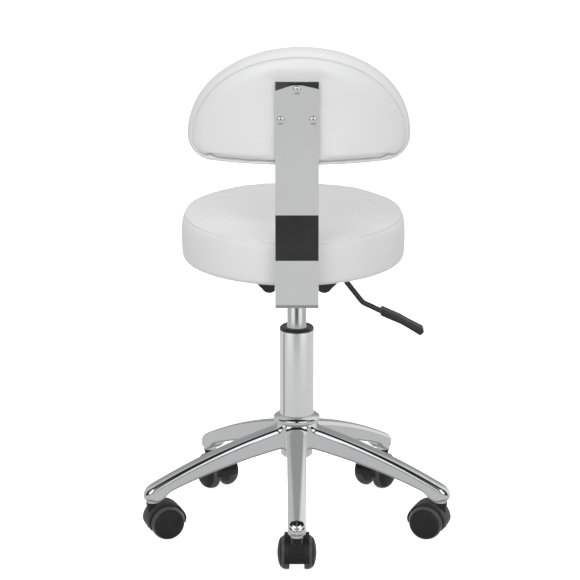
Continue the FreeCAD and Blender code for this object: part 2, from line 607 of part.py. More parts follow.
def lever_parts():
    """The bent rod that presses the valve, its flat grip and its pivot pin."""
    route = [("lever_inner", "lever_height"), ("-knee_reach", "lever_height"),
             ("-shin_reach", "shin_height"), ("-toe_reach", "toe_height"), ("-grip_reach", "grip_height")]
    path = bent_path([Vector(size(across), 0, size(up)) for across, up in route], size("lever_bend"))
    profile = Part.Wire(Part.makeCircle(size("lever_radius"), path.Vertexes[0].Point, AXIS_X))
    rod = path.makePipeShell([profile], True, True)
    pivot = Vector(-size("pivot_place"), -size("cup_radius"), size("lever_height"))
    hole = Part.makeCylinder(size("pin_radius + running_gap"), 2 * size("cup_radius"), pivot, AXIS_Y)
    piece = doc.addObject("Part::Feature", "lever_rod")
    piece.Shape = rod.cut(hole)
    keep(piece)
    paddle = slab("paddle", [
        ("-paddle_near", "paddle_near_low"), ("-paddle_middle", "paddle_middle_low", "paddle_curve"),
        ("1 - paddle_far", "paddle_far_low"), ("-paddle_tip", "paddle_tip_height", "-paddle_nose"),
        ("-paddle_far", "paddle_far_high", "paddle_curve"), ("-paddle_middle", "paddle_middle_high"),
        ("-paddle_near", "paddle_near_high")], "paddle_width")
    rounded(paddle, "paddle_round", lambda edge: edge.Length > 4)
    keep(cut("lever_paddle", paddle, [lever_socket(rod)]))
    pin_half = "ear_gap + ear_thick"
    keep(cylinder("lever_pin", "pin_radius", f"2 * ({pin_half})",
                  at("-pivot_place", pin_half, "lever_height", Rotation(AXIS_X, 90))))


def lever_socket(rod):
    """The rod's own shape, taken out of the grip that is moulded over it."""
    socket = doc.addObject("Part::Feature", "lever_socket")
    socket.Shape = rod
    return socket


# ---------------------------------------------------------------- whole stool
star_base()
column_parts()
rod_parts()
cylinder_parts()
caster_stems()
for arm_number, arm_angle in enumerate(ARM_ANGLES, start=1):
    caster(arm_number, arm_angle)
seat_plate()
seat_fasteners()
seat_pad()
backrest_bar()
backrest_pad()
lever_parts()
doc.recompute()

for item in doc.Objects:
    if {"Invalid", "Error"} & set(item.State):
        raise ValueError(f"{item.Label} failed: {item.State}")
os.makedirs("parts", exist_ok=True)
for piece in sub_parts:
    if piece.Shape.isNull() or not piece.Shape.isValid():
        raise ValueError(f"{piece.Label} has no valid shape")
    piece.Shape.exportStep(f"parts/{piece.Label}.step")
print(f"{len(sub_parts)} sub-parts written")
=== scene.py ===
"""The looks of a rolling stylist stool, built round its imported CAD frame. Metres, the row's frame."""
import json
import math

import bmesh
import bpy
from mathutils import Matrix, Vector, noise


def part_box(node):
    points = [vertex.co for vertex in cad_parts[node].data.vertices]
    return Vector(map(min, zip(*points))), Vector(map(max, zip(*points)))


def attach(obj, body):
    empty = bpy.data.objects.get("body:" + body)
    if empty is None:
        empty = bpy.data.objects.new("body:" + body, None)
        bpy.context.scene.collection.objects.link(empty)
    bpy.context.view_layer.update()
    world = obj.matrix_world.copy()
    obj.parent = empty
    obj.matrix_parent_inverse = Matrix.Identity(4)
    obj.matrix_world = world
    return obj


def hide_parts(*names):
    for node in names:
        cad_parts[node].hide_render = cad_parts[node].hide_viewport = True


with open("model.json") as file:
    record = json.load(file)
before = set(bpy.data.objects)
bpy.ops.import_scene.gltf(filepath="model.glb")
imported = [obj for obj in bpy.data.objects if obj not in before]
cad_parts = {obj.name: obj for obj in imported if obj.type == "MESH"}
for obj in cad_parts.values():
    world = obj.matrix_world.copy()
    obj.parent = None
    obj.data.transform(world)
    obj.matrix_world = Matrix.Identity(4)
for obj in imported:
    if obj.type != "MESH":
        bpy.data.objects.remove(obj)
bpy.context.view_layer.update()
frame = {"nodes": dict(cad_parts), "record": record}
NODES = frame["nodes"]
SLOT_OF = {part["node"]: part["material_slot"] for part in frame["record"]["subparts"]}
MM = 0.001

# ---------------------------------------------------------------- camera
CAMERA_PLACE = Vector((0.0099, 6.5714, 2.3002))
CAMERA_PITCH = math.radians(16.46)
CAMERA_LENS = 290.4


def add_camera():
    data = bpy.data.cameras.new("camera")
    data.lens = CAMERA_LENS
    data.sensor_width = 36.0
    data.clip_end = 60.0
    camera = bpy.data.objects.new("camera", data)
    camera.location = CAMERA_PLACE
    camera.rotation_euler = (math.pi / 2 - CAMERA_PITCH, 0.0, math.pi)
    bpy.context.scene.collection.objects.link(camera)
    bpy.context.scene.camera = camera


# ---------------------------------------------------------------- materials
class Shader:
    """A node tree with its principled shader, and short calls to add and join nodes."""

    def __init__(self, name):
        self.material = bpy.data.materials.new(name)
        self.material.use_nodes = True
        self.tree = self.material.node_tree
        self.surface = self.tree.nodes["Principled BSDF"]
        self.place = self.add("ShaderNodeTexCoord").outputs["Object"]

    def add(self, kind, **settings):
        node = self.tree.nodes.new(kind)
        for key, value in settings.items():
            if key in node.inputs:
                node.inputs[key].default_value = value
            else:
                setattr(node, key, value)
        return node

    def join(self, source, target):
        self.tree.links.new(source, target)

    def noise(self, scale, detail=3.0, stretch=(1, 1, 1)):
        """A noise value over the object, drawn out along an axis where stretch is small."""
        mapping = self.add("ShaderNodeMapping")
        mapping.inputs["Scale"].default_value = stretch
        texture = self.add("ShaderNodeTexNoise", Scale=scale, Detail=detail)
        self.join(self.place, mapping.inputs["Vector"])
        self.join(mapping.outputs["Vector"], texture.inputs["Vector"])
        return texture.outputs["Fac"]

    def spread(self, value, low, high, start=0.3, end=0.7):
        """A value between start and end brought to between low and high."""
        node = self.add("ShaderNodeMapRange")
        for key, number in (("From Min", start), ("From Max", end),
                            ("To Min", low), ("To Max", high)):
            node.inputs[key].default_value = number
        self.join(value, node.inputs["Value"])
        return node.outputs["Result"]

    def tint(self, value, dark, light):
        """Base colour between dark and light, after a value."""
        ramp = self.add("ShaderNodeValToRGB")
        ramp.color_ramp.elements[0].position = 0.3
        ramp.color_ramp.elements[1].position = 0.7
        ramp.color_ramp.elements[0].color = (*dark, 1)
        ramp.color_ramp.elements[1].color = (*light, 1)
        self.join(value, ramp.inputs["Fac"])
        self.join(ramp.outputs["Color"], self.surface.inputs["Base Color"])

    def bump(self, height, distance, strength=1.0, under=None):
        """Surface relief in metres, over an earlier relief where under is given."""
        node = self.add("ShaderNodeBump", Strength=strength, Distance=distance)
        self.join(height, node.inputs["Height"])
        if under is not None:
            self.join(under, node.inputs["Normal"])
        self.join(node.outputs["Normal"], self.surface.inputs["Normal"])
        return node.outputs["Normal"]


def shade(color, factor):
    return tuple(min(channel * factor, 1.0) for channel in color)


def metal(name, color, rough, rough_spread=0.03, grain=(1, 1, 1), bump=0.00001):
    """Plated metal: faint cloudiness in its polish, and grain drawn out along one axis."""
    look = Shader(name)
    look.surface.inputs["Metallic"].default_value = 1.0
    look.tint(look.noise(9.0), shade(color, 0.97), shade(color, 1.02))
    look.join(look.spread(look.noise(60.0, 4.0, grain), rough, rough + rough_spread),
              look.surface.inputs["Roughness"])
    look.bump(look.noise(240.0, 2.0, grain), bump, 0.3)
    return look.material


def moulded(name, color, rough, bump=0.00006, bump_scale=1500.0, tint=0.15, gloss=0.35):
    """Moulded plastic or rubber: fine spark texture, uneven gloss and slight wear."""
    look = Shader(name)
    look.tint(look.noise(45.0), shade(color, 1 - tint), shade(color, 1 + tint))
    look.join(look.spread(look.noise(90.0), rough - 0.05, rough + 0.08), look.surface.inputs["Roughness"])
    look.surface.inputs["Specular IOR Level"].default_value = gloss
    look.bump(look.noise(bump_scale, 2.0), bump, 0.5)
    return look.material


def vinyl(name, color):
    """Smooth upholstery vinyl: a fine leather grain over faint soft unevenness."""
    look = Shader(name)
    look.tint(look.noise(14.0), shade(color, 0.985), shade(color, 1.01))
    look.join(look.spread(look.noise(30.0), 0.4, 0.5), look.surface.inputs["Roughness"])
    look.surface.inputs["Sheen Weight"].default_value = 0.06
    look.surface.inputs["Coat Weight"].default_value = 0.08
    look.surface.inputs["Coat Roughness"].default_value = 0.3
    soft = look.bump(look.noise(26.0, 2.0), 0.0012, 0.25)
    cells = look.add("ShaderNodeTexVoronoi", Scale=900.0, feature="DISTANCE_TO_EDGE")
    look.join(look.place, cells.inputs["Vector"])
    look.bump(look.spread(cells.outputs["Distance"], 0.0, 1.0, 0.0, 0.25), 0.00006, 0.35, soft)
    return look.material


def plywood(name):
    look = Shader(name)
    grain = look.noise(22.0, 6.0, (0.15, 1, 6))
    look.tint(grain, (0.42, 0.28, 0.15), (0.68, 0.51, 0.32))
    look.surface.inputs["Roughness"].default_value = 0.65
    look.bump(grain, 0.0002, 0.4)
    return look.material


CHROME = (0.7, 0.704, 0.712)
MATERIALS = {
    "base_chrome": metal("base_chrome", CHROME, 0.045, 0.02),
    "column_satin": metal("column_satin", (0.9, 0.902, 0.906), 0.2, 0.04, (1, 1, 0.04)),
    "cylinder_chrome": metal("cylinder_chrome", (0.6, 0.603, 0.61), 0.06),
    "bar_steel": metal("bar_steel", (0.8, 0.802, 0.808), 0.1, 0.03, (1, 1, 0.03)),
    "plated_steel": metal("plated_steel", (0.86, 0.864, 0.87), 0.24),
    "black_paint": moulded("black_paint", (0.022, 0.022, 0.024), 0.3, 0.00003, 700.0, gloss=0.6),
    "black_plastic": moulded("black_plastic", (0.012, 0.012, 0.013), 0.34, gloss=0.65),
    "caster_plastic": moulded("caster_plastic", (0.011, 0.011, 0.012), 0.38),
    "wheel_plastic": moulded("wheel_plastic", (0.012, 0.012, 0.013), 0.45),
    "tread_grey": moulded("tread_grey", (0.075, 0.075, 0.077), 0.3, 0.0001, 500.0),
    "rubber_black": moulded("rubber_black", (0.02, 0.02, 0.02), 0.6),
    "plywood": plywood("plywood"),
    "foam": moulded("foam", (0.75, 0.66, 0.42), 0.9, 0.0006, 1200.0, 0.05),
    "white_vinyl": vinyl("white_vinyl", (0.8, 0.8, 0.804)),
}


def finish_nodes():
    """Every CAD node takes its slot's procedural material, and stays out of the chrome's reflections."""
    for name, node in NODES.items():
        node.data.materials.clear()
        node.data.materials.append(MATERIALS[SLOT_OF[name]])
        node.visible_glossy = False


# ---------------------------------------------------------------- mesh helpers
# All lengths from here to the studio are in millimetres.
WELD = 0.02


def box_mm(node):
    """Low and high corners of a CAD node's box."""
    low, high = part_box(node)
    return low / MM, high / MM


def new_piece(name, points, faces, slot, body, stands_for=(), sharp=40.0):
    """A closed smooth-shaded mesh from points in millimetres, riding on its body."""
    mesh = bpy.data.meshes.new(name)
    mesh.from_pydata([tuple(point * MM) for point in points], [], faces)
    work = bmesh.new()
    work.from_mesh(mesh)
    bmesh.ops.remove_doubles(work, verts=work.verts, dist=WELD * MM)
    bmesh.ops.recalc_face_normals(work, faces=work.faces)
    work.to_mesh(mesh)
    work.free()
    mesh.shade_smooth()
    mesh.set_sharp_from_angle(angle=math.radians(sharp))
    mesh.materials.append(MATERIALS[slot])
    piece = bpy.data.objects.new(name, mesh)
    piece.visible_glossy = False
    bpy.context.scene.collection.objects.link(piece)
    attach(piece, body)
    if stands_for:
        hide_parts(*stands_for)
    return piece


def skin(rings, looped=False):
    """Quads between closed rings of points. Each end is fanned, unless the last ring joins the first."""
    points = [point for ring in rings for point in ring]
    count = len(rings[0])
    faces = []
    for level in range(len(rings) if looped else len(rings) - 1):
        below, above = level * count, (level + 1) % len(rings) * count
        for step in range(count):
            after = (step + 1) % count
            faces.append((below + step, below + after, above + after, above + step))
    if not looped:
        for start in (0, (len(rings) - 1) * count):
            points.append(sum(points[start:start + count], Vector()) / count)
            faces += [(start + step, start + (step + 1) % count, len(points) - 1)
                      for step in range(count)]
    return points, faces


def gathered(skins):
    """Several skins as the points and faces of one mesh."""
    points, faces = [], []
    for more_points, more_faces in skins:
        start = len(points)
        points += more_points
        faces += [tuple(index + start for index in face) for face in more_faces]
    return points, faces


def turned_rings(profile, segments, middle=Vector(), axis=Vector((0, 0, 1))):
    """Rings of (radius, along) pairs about an axis through middle."""
    turn = axis.to_track_quat("Z", "Y").to_matrix()
    angles = [2 * math.pi * step / segments for step in range(segments)]
    return [[middle + turn @ Vector((radius * math.cos(angle), radius * math.sin(angle), along))
             for angle in angles] for radius, along in profile]


def softened(corners, radius, steps=4):
    """An open outline of (across, along) corners with each inner corner rounded."""
    result = [corners[0]]
    for back, here, ahead in zip(corners, corners[1:], corners[2:]):
        here, back, ahead = Vector(here), Vector(back), Vector(ahead)
        reach = min(radius, (back - here).length * 0.45, (ahead - here).length * 0.45)
        start = here + (back - here).normalized() * reach
        end = here + (ahead - here).normalized() * reach
        for share in (step / steps for step in range(steps + 1)):
            result.append(tuple(start * (1 - share) ** 2 + here * 2 * share * (1 - share)
                                + end * share ** 2))
    return result + [corners[-1]]


def ease(value, low, high):
    """0 below low and 1 above high, with a smooth step between."""
    share = min(max((value - low) / (high - low), 0.0), 1.0)
    return share * share * (3 - 2 * share)


CLOTH_FRAMES = 20
CLOTH_PRESSURE = 4.0


def swell(piece, held, cap):
    """Stuff a closed piece: cloth under pressure, held vertices pinned, and every move under cap mm."""
    before = [vertex.co.copy() for vertex in piece.data.vertices]
    group = piece.vertex_groups.new(name="held")
    group.add(held, 1.0, "REPLACE")
    cloth = piece.modifiers.new("stuffing", "CLOTH")
    cloth.settings.vertex_group_mass = group.name
    cloth.settings.use_pressure = True
    cloth.settings.uniform_pressure_force = CLOTH_PRESSURE
    cloth.settings.effector_weights.gravity = 0.0
    cloth.settings.quality = 6
    scene = bpy.context.scene
    for step in range(CLOTH_FRAMES):
        scene.frame_set(step + 1)
    swollen = piece.evaluated_get(bpy.context.evaluated_depsgraph_get()).to_mesh()
    after = [vertex.co.copy() for vertex in swollen.vertices]
    piece.modifiers.remove(cloth)
    piece.vertex_groups.clear()
    scene.frame_set(1)
    cap *= MM
    for vertex, old, new in zip(piece.data.vertices, before, after):
        move = new - old
        vertex.co = old + move * (math.tanh(move.length / cap) * cap / max(move.length, 1e-9))


def finer(piece):
    """One level of subdivision, after the cloth run."""
    modifier = piece.modifiers.new("finer", "SUBSURF")
    modifier.levels = modifier.render_levels = 1


# ---------------------------------------------------------------- seat cushion
SEAT_SEGMENTS = 168
SEAT_SHIFT = 1.2
BAND_TUCK = 2.4         # the band's radius inside the CAD cover's, before the stuffing swells it
SEAM_DROP = 7.5
PANEL_RADIUS = 159.4
PANEL_RISE, PANEL_FLATNESS = 10.4, 8
COVER_TURN = 24.0       # how far the cover is turned in under the board
FRONT_RISE = 3.0        # how much higher the panel's front is than its rear
SEAT_SWELL = 3.0
SEAM_REACH = 9.0        # how far puckers and waves run out from the seam
PUCKER_DEPTH, PUCKER_TURNS = 0.5, 22.0
WAVE_DEPTH, WAVE_TURNS = 1.1, 2.2
SAG_DEPTH, SAG_SIZE = 0.7, 55.0


def seat_cushion():
    """Round cushion: a flat-crowned panel rolled down to its seam, a boxing band and a turned-in hem."""
    low, high = box_mm("seat_cover")
    board_low, board_high = box_mm("seat_board")
    middle = Vector(((low.x + high.x) / 2 + SEAT_SHIFT, 0, 0))
    radius = (high.x - low.x) / 2 - BAND_TUCK
    board_radius = (board_high.x - board_low.x) / 2
    seam = high.z - SEAM_DROP
    panel_radii = [6 + 6 * step for step in range(24)] + [147.5, 150.5, 153.2, 155.5, 157.3, 158.7]
    panel = [(across, seam + 0.6 + PANEL_RISE * math.sqrt(1 - (across / PANEL_RADIUS) ** PANEL_FLATNESS))
             for across in panel_radii]
    seam_line = [(PANEL_RADIUS - 2.0, seam - 0.8), (PANEL_RADIUS + 0.3, seam - 2.0)]
    band = [(radius - 2.0, seam - 4), (radius - 0.8, seam - 9), (radius, seam - 17),
            (radius + 0.3, seam - 27), (radius + 0.2, seam - 37), (radius - 0.2, seam - 45),
            (radius - 0.7, low.z + 6.5), (radius - 1.9, low.z + 2.6), (radius - 4.0, low.z - 0.1),
            (radius - 7.5, low.z - 1.2), (radius - 14, low.z - 1.5), (radius - 22, low.z - 1.2)]
    hem = board_radius - COVER_TURN
    lining = [(hem, low.z - 0.5), (hem - 0.4, board_low.z - 0.4), (hem + 1, board_low.z - 0.1),
              (board_radius + 0.3, board_low.z - 0.1), (board_radius + 0.3, board_high.z + 0.2),
              (board_radius * 0.5, board_high.z + 0.2), (6, board_high.z + 0.2)]
    rings = turned_rings(panel + seam_line + band + lining, SEAT_SEGMENTS, middle)
    points, faces = skin(rings)
    piece = new_piece("seat_cushion", points, faces, "white_vinyl", "seat",
                      ("seat_cover", "seat_foam"), 180)

    panel_middle = len(points) - 2
    seam_start, seam_end = len(panel) - 1, len(panel) + 3
    hem_start = len(panel + seam_line + band) - 3
    held = [*range(seam_start * SEAT_SEGMENTS, seam_end * SEAT_SEGMENTS),
            *range(hem_start * SEAT_SEGMENTS, panel_middle), panel_middle + 1]
    swell(piece, held, SEAT_SWELL)
    for vertex in piece.data.vertices:
        place = vertex.co / MM - middle
        angle = math.atan2(place.y, place.x)
        rim = Vector((math.cos(angle), math.sin(angle), 0))
        lift = FRONT_RISE * (0.5 - 0.5 * place.y / radius) * ease(place.z, low.z + 10, seam)
        if place.z > seam - 12:
            pucker = PUCKER_DEPTH * noise.noise(rim * PUCKER_TURNS)
            wave = WAVE_DEPTH * noise.noise(rim * WAVE_TURNS + Vector((0, 0, 4)))
            off_seam = math.hypot(place.x, place.y) - PANEL_RADIUS
            lift += (pucker + wave) * math.exp(-(off_seam / SEAM_REACH) ** 2)
        if place.z > seam:
            lift += SAG_DEPTH * noise.noise(place / SAG_SIZE)
        vertex.co.z += lift * MM
    finer(piece)
    return piece


# ---------------------------------------------------------------- backrest cushion
BACK_CURVE = 300.0
BACK_DEPTH = 48.0
CORNER_WIDE, CORNER_TALL = 34.0, 30.0
CENTRE_RISE = 33.0      # from the corners' middles up to the point that the panels' rings shrink to
FOLD_PLACE, FOLD_HALF, FOLD_RISE = 126.0, 5.5, 5.0
RIPPLE_SIZE = 16.0
CROWN_RISE, CROWN_SHIFT = 4.5, 3.0      # the crown leans up and sideways towards its front
CROWN_STEPS, CORNER_STEPS, FOOT_STEPS = 92, 16, 72
BACK_SWELL = 2.5
PANEL_REST, PUFF_DEPTH = 0.3, 6.3
PUFF_FROM_BAR, PUFF_FROM_SEAM = (-3, 22), (5, 24)
REAR_INSET, FRONT_INSET, FRONT_PUFF = 12.0, 14.0, 5.5
REAR_SHARES = (0.04, 0.12, 0.2, 0.28, 0.36, 0.44, 0.52, 0.6, 0.67, 0.74, 0.8, 0.86, 0.91, 0.96)
FRONT_SHARES = (0.97, 0.93, 0.87, 0.8, 0.72, 0.64, 0.55, 0.46, 0.37, 0.28, 0.2, 0.12, 0.04)
# From the rear panel over its seam, the side band and the front seam: inset from the outline, depth,
# share of the foot's folds, and extra depth along the foot.
BACK_RIM = ((12, 0, 0.6, 0), (9.8, 1.0, 0.9, 0), (8.4, 2.4, 1.0, 1.0), (7.7, 4.8, 1.0, 4.4),
            (6.9, 5.0, 0.9, 3.6), (6.2, 3.0, 0.8, -1.0), (5.2, 3.0, 0.6, -2.6), (2.8, 5.2, 0, -2.8),
            (1.0, 10, 0, -2.4), (0.1, 16, 0, 0), (-0.4, 23, 0, 0), (0.1, 30, 0, 0), (1.2, 35.5, 0, 0),
            (2.8, 39, 0, 0), (4.4, 40.8, 0, 0), (6.2, 41.0, 0, 0), (5.0, 42.6, 0, 0), (7.4, 45.0, 0, 0),
            (11, 47.2, 0, 0))
REAR_SEAM, FRONT_SEAM = range(1, 7), range(13, 16)


def backrest_outline(half, middle, top, low, inset):
    """The half-moon seen from behind, drawn in by inset: (across, up, share of being on the foot)."""
    wide, tall = CORNER_WIDE - inset, CORNER_TALL - inset
    foot_end = half - CORNER_WIDE
    line = []
    for step in range(CROWN_STEPS):
        angle = math.pi * step / CROWN_STEPS
        line.append(((half - inset) * math.cos(angle),
                     middle + (top - middle - inset) * math.sin(angle), 0.0))

    def corner(side, angle):
        line.append((side * (foot_end + wide * math.cos(angle)), middle - tall * math.sin(angle),
                     ease(angle, 0.5, math.pi / 2)))

    for step in range(CORNER_STEPS):
        corner(-1, math.pi / 2 * step / CORNER_STEPS)
    for step in range(FOOT_STEPS):
        line.append((-foot_end + 2 * foot_end * step / FOOT_STEPS, low + inset, 1.0))
    for step in range(CORNER_STEPS):
        corner(1, math.pi / 2 * (1 - step / CORNER_STEPS))
    return line


def backrest_cushion():
    """Half-moon cushion bent round the sitter, drawn in under the bar and gathered along its foot."""
    low, high = box_mm("backrest_cover")
    bar_low, bar_high = box_mm("backrest_bar")
    bar_front = box_mm("backrest_board")[1].y + 1.2
    shift = (low.x + high.x) / 2
    half, middle = (high.x - low.x) / 2, low.z + CORNER_TALL
    centre_up = middle + CENTRE_RISE
    bar_half = (bar_high.x - bar_low.x) / 2

    def bent(across, up, depth):
        reach = BACK_CURVE - depth
        return Vector((across + shift, bar_front - BACK_CURVE + math.sqrt(reach ** 2 - across ** 2), up))

    def rear_depth(across, up, inset):
        """How far the rear panel stands back: puffed between its seam and the bar that holds it down."""
        from_bar = math.hypot(max(abs(across + shift) - bar_half, 0), max(up - bar_high.z, 0))
        return PANEL_REST - PUFF_DEPTH * ease(from_bar, *PUFF_FROM_BAR) * ease(inset, *PUFF_FROM_SEAM)

    def ring(inset, depth, gather=0.0, foot_deep=0.0, shrink=1.0):
        """The outline drawn in by inset at a depth, shrunk towards the cushion's middle."""
        result = []
        for across, up, foot in backrest_outline(half, middle, high.z, low.z, inset):
            fold = math.exp(-((abs(across) - FOLD_PLACE) / FOLD_HALF) ** 2) * FOLD_RISE
            ripple = noise.noise(Vector((across / RIPPLE_SIZE, 0, 3)))
            up += gather * foot * (fold + ripple)
            forward = min(max(depth, 0.0), BACK_DEPTH) / BACK_DEPTH
            lean = forward * max(up - middle, 0.0) / (high.z - middle)
            up, across = up + CROWN_RISE * lean, across - CROWN_SHIFT * lean
            across, up = across * shrink, centre_up + (up - centre_up) * shrink
            stand = depth + foot_deep * foot
            if depth <= 1.0:
                stand += rear_depth(across, up, inset + (1 - shrink) * 100)
            result.append(bent(across, up, stand))
        return result

    rings = [ring(REAR_INSET, 0, shrink=share) for share in REAR_SHARES]
    rings += [ring(*row) for row in BACK_RIM]
    rings += [ring(FRONT_INSET, BACK_DEPTH + 0.4 + FRONT_PUFF * ease(1 - share, 0, 0.5), shrink=share)
              for share in FRONT_SHARES]
    points, faces = skin(rings)
    piece = new_piece("backrest_cushion", points, faces, "white_vinyl", "seat",
                      ("backrest_cover", "backrest_foam"), 180)
    count = len(rings[0])
    held = {(len(REAR_SHARES) + row) * count + step for row in (*REAR_SEAM, *FRONT_SEAM)
            for step in range(count)}
    for number, vertex in enumerate(piece.data.vertices):
        place = vertex.co / MM
        if place.y > bar_front - 12 and abs(place.x) < bar_half + 4 and place.z < bar_high.z + 4:
            held.add(number)
    swell(piece, sorted(held), BACK_SWELL)
    finer(piece)
    return piece


# ---------------------------------------------------------------- star base
ARM_ANGLES = [math.radians(90 + 72 * number) for number in range(5)]
ARM_HALF, ARM_ROUND, ARM_CROWN = 13.0, 5.5, 3.2
ROOT_FLARE, FLARE_REACH = 1.5, (30, 200)
ROOT_PLACE, ROOT_FILLET, FILLET_SPREAD = 26.2, 8.0, 0.35
NOSE_ROUND = 5.0
SOCKET_CIRCLE, SOCKET_BOTTOM = 223.0, 55.0
TOP_INSETS = (11, 9, 7.2, 5.8, 4.5, 3.3, 2.3, 1.4, 0.7, 0.2, 0.0)
SIDE_FOOT = ((0.0, 9.0), (0.0, 5.0), (0.3, 3.0), (1.0, 1.6), (2.2, 0.6), (4.2, 0.0), (8.0, 0.0))
TOP_ROOT, TOP_NOSE = (20.0, 156.0), (236.0, 74.5)
LOW_ROOT, LOW_NOSE = (20.0, 121.0), (207.0, 66.4)
TOP_ARC, LOW_ARC = 937.0, 850.0
SEAM_ANGLE, SEAM_HALF = math.radians(41.5), 1.1


def arch(start, end, radius, across):
    """Height on the arc of the given radius that bulges upward from start to end."""
    begin, finish = Vector(start), Vector(end)
    chord = finish - begin
    rise = math.sqrt(radius ** 2 - (chord.length / 2) ** 2)
    centre = (begin + finish) / 2 + Vector((chord.y, -chord.x)).normalized() * rise
    return centre.y + math.sqrt(radius ** 2 - (min(max(across, start[0]), end[0]) - centre.x) ** 2)


def arm_low(along):
    """Height of the underside: an arch that drops to the caster socket."""
    return arch(LOW_ROOT, LOW_NOSE, LOW_ARC, along) - (LOW_NOSE[1] - SOCKET_BOTTOM) * ease(along, 194, 222)


def arm_section(middle, side):
    """One crosswise cut of an arm: over the crowned top and round to the underside."""
    section = []
    reach = ARM_HALF + ROOT_FLARE * (1 - ease(middle.x, *FLARE_REACH))
    nose = ease(middle.x + side.x * ARM_HALF, SOCKET_CIRCLE - 8, SOCKET_CIRCLE + 8)
    into_hub = min(max(ROOT_PLACE + ROOT_FILLET - middle.x, 0), ROOT_FILLET)
    fillet = ROOT_FILLET - math.sqrt(ROOT_FILLET ** 2 - into_hub ** 2)
    reach += fillet * FILLET_SPREAD
    for sign in (1, -1):
        way = Vector((side.x, side.y * sign))
        half = []
        for inset in (reach, *TOP_INSETS):
            place = middle + way * (reach - inset)
            crown = ARM_CROWN * (1 - inset / reach) ** 2
            corner = ARM_ROUND - math.sqrt(ARM_ROUND ** 2 - max(ARM_ROUND - inset, 0) ** 2)
            top = arch(TOP_ROOT, TOP_NOSE, TOP_ARC, place.x) + fillet
            half.append(Vector((place.x, place.y, top - crown - corner)))
        for inset, lift in (*SIDE_FOOT, (reach, 0.0)):
            place = middle + way * (reach - inset)
            lift = lift * (1 - 0.4 * nose) + NOSE_ROUND * nose * (1 - inset / reach) ** 2
            half.append(Vector((place.x, place.y, arm_low(place.x) + lift)))
        section += half if sign == 1 else list(reversed(half))
    return section


def star_casting():
    """Hub and five arms joined into one casting with crowned, round-edged arms."""
    stations = [16, ROOT_PLACE, 26.5, 27, 27.8, 28.8, 30, 31.5, 33.5, *range(38, 186, 4),
                *range(186, int(SOCKET_CIRCLE), 2)]
    sections = [arm_section(Vector((along, 0)), Vector((0, 1))) for along in stations]
    sections += [arm_section(Vector((SOCKET_CIRCLE, 0)), Vector((math.sin(turn), math.cos(turn))))
                 for turn in map(math.radians, (*range(0, 90, 5), 89))]
    points, faces = skin(sections)
    arms = []
    for number, angle in enumerate(ARM_ANGLES):
        turn = Matrix.Rotation(angle, 3, "Z")
        arms.append(new_piece(f"arm_{number}", [turn @ point for point in points], faces,
                              "base_chrome", "base"))
    outside = softened([(21.4, 107), (23.2, 107), (23.2, 117), (26.5, 121), (26.5, 150), (28, 156),
                        (33.6, 160.2), (34, 161.5), (34, 166), (30, 168.8), (25.7, 171), (25.3, 171)], 1.6)
    bore = [(25.3, 170), (21.4, 108)]
    hub = new_piece("star_casting", *skin(turned_rings(outside + bore, 144), looped=True),
                    "base_chrome", "base", ("star_base",))
    for arm in arms:
        join = hub.modifiers.new("join", "BOOLEAN")
        join.object, join.operation, join.solver = arm, "UNION", "EXACT"
    joined = bpy.data.meshes.new_from_object(hub.evaluated_get(bpy.context.evaluated_depsgraph_get()))
    hub.modifiers.clear()
    hub.data = joined
    hub.data.name = hub.name
    for arm in arms:
        bpy.data.objects.remove(arm)
    joined.shade_smooth()
    joined.set_sharp_from_angle(angle=math.radians(32))
    return hub


def column_seam_shade():
    """The rolled joint that runs down the column, from its collar to the hub, as a black strip proud of
    the tube: painted shade of the joint's groove.
    """
    tube_high = box_mm("column_tube")[1]
    hub_top = box_mm("star_base")[1].z
    radius = tube_high.x
    rings = []
    for up in (hub_top + 0.3, tube_high.z - 0.8):
        ring = []
        for out, share in ((-0.2, -1), (0.1, -0.6), (0.14, 0), (0.1, 0.6), (-0.2, 1)):
            angle = SEAM_ANGLE + share * SEAM_HALF / radius
            ring.append(Vector(((radius + out) * math.cos(angle), (radius + out) * math.sin(angle), up)))
        rings.append(ring)
    # A black strip on the chrome: painted shade where the joint's groove would show dark.
    return new_piece("column_seam_shade", *skin(rings), "rubber_black", "base")


# ---------------------------------------------------------------- backrest bar and its screws
BAR_THICK, BAR_BEND, BAR_EDGE = 5.0, 4.0, 0.8
BAR_STATIONS = (420, 480, 560, 640, 690)
BEND_STEPS = 12
WEDGE_TILT = math.radians(8)
WEDGE_START, WEDGE_TOP, WEDGE_DROPS = 7.0, 4.5, (10.0, 12.5)
HEAD_RADIUS = 6.3
CROSS_TURN = math.radians(28)
CROSS_TOP, CROSS_FLOOR = 2.95, 0.4
SCREW_SEGMENTS = 64


